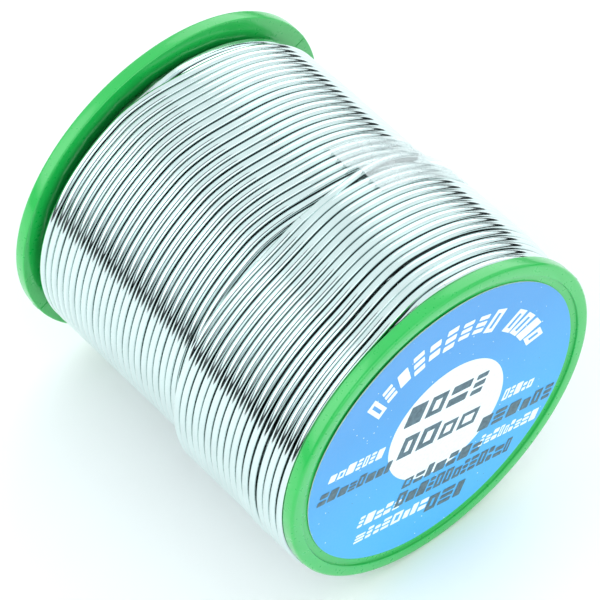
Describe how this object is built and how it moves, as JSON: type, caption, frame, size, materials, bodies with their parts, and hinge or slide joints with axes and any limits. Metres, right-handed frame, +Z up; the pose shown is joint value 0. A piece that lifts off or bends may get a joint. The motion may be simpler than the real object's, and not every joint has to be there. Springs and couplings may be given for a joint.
{
  "type": "solder wire spool",
  "caption": "Small flanged plastic reel wound nearly full with round solder wire, with a round paper label over one end of its bore and clear tape on the wire's end.",
  "frame": {"origin": "on the surface that the flange rims stand on, below the reel's axis, midway between the two end faces", "axes": "+Y along the reel's axis, from the labelled end to the open end; +Z up, the reel lying on its side"},
  "size_m": [0.052, 0.0576, 0.052],
  "materials": {
    "reel_plastic": "moulded, satin gloss",
    "label_paper": "printed, lightly coated",
    "solder_wire": "bright, drawn",
    "clear_tape": "clear adhesive film"
  },
  "bodies": {
    "root": {"front_flange": "reel_plastic", "rear_flange": "reel_plastic", "core_barrel": "reel_plastic", "front_label": "label_paper", "wire_layer_01": "solder_wire", "wire_layer_02": "solder_wire", "wire_layer_03": "solder_wire", "wire_layer_04": "solder_wire", "wire_layer_05": "solder_wire", "wire_layer_06": "solder_wire", "wire_layer_07": "solder_wire", "wire_layer_08": "solder_wire", "wire_layer_09": "solder_wire", "wire_layer_10": "solder_wire", "wire_layer_11": "solder_wire", "wire_layer_12": "solder_wire", "wire_layer_13": "solder_wire", "wire_layer_14": "solder_wire", "wire_layer_15": "solder_wire", "wire_free_end": "solder_wire", "end_tape": "clear_tape"}
  },
  "joints": []
}
